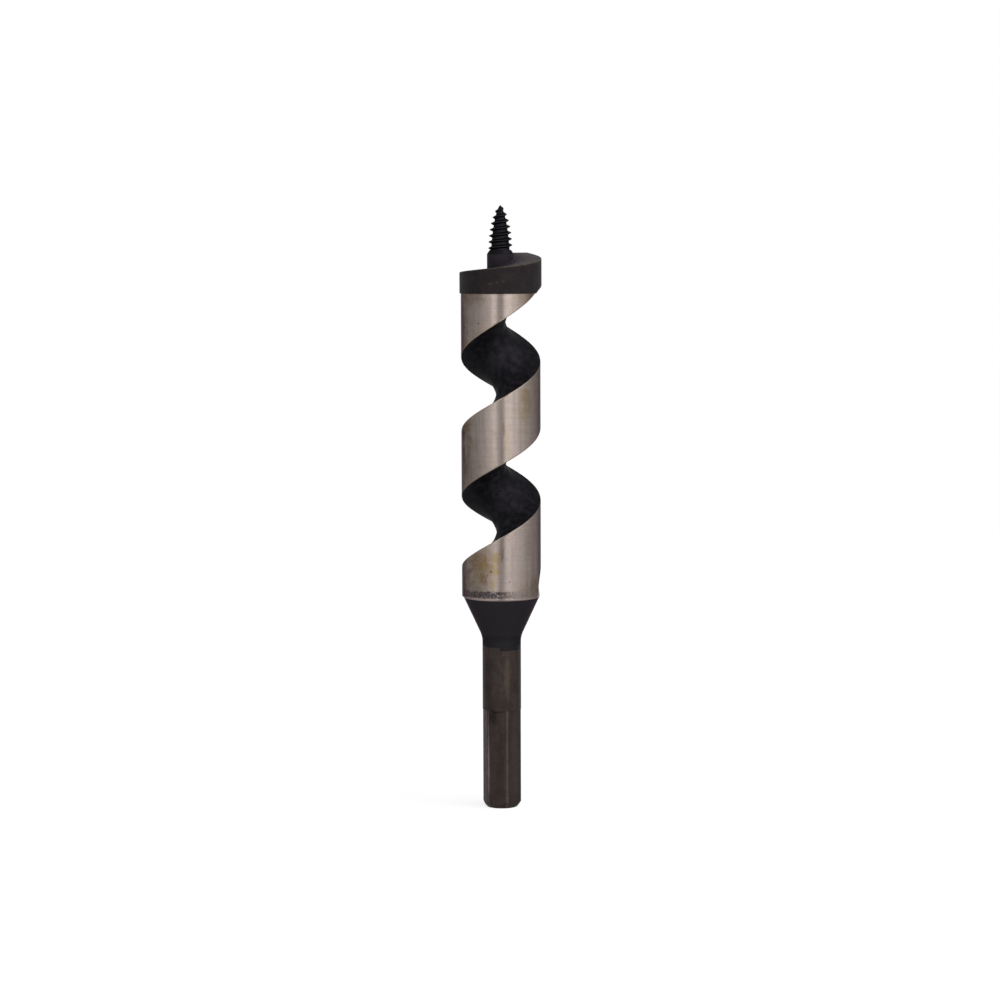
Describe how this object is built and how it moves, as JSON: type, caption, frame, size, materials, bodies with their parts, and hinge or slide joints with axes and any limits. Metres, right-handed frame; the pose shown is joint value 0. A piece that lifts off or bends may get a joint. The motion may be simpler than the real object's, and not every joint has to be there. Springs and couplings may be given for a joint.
{
  "type": "wood drill bit",
  "caption": "Single-flute solid-centre auger bit for wood with a screw point, ramped cutting head, ground twist, tapered collar and hexagonal shank.",
  "frame": {"origin": "centre of the shank's flat end face", "axes": "+Z along the bit's axis from the shank to the screw point, +X to the right and -Y to the viewer in the picture's view"},
  "size_m": [0.0258, 0.0254, 0.1905],
  "materials": {
    "point_black": "blackened steel, sharp bright crests",
    "head_dark": "dark heat scale, worn at the edges",
    "twist_steel": "ground land with brown tarnish, black flute",
    "collar_black": "satin black oxide",
    "shank_brown": "brown tempered bare steel"
  },
  "bodies": {
    "root": {"screw_point": "point_black", "cutting_head": "head_dark", "twist_body": "twist_steel", "shank_collar": "collar_black", "drive_shank": "shank_brown"}
  },
  "joints": []
}
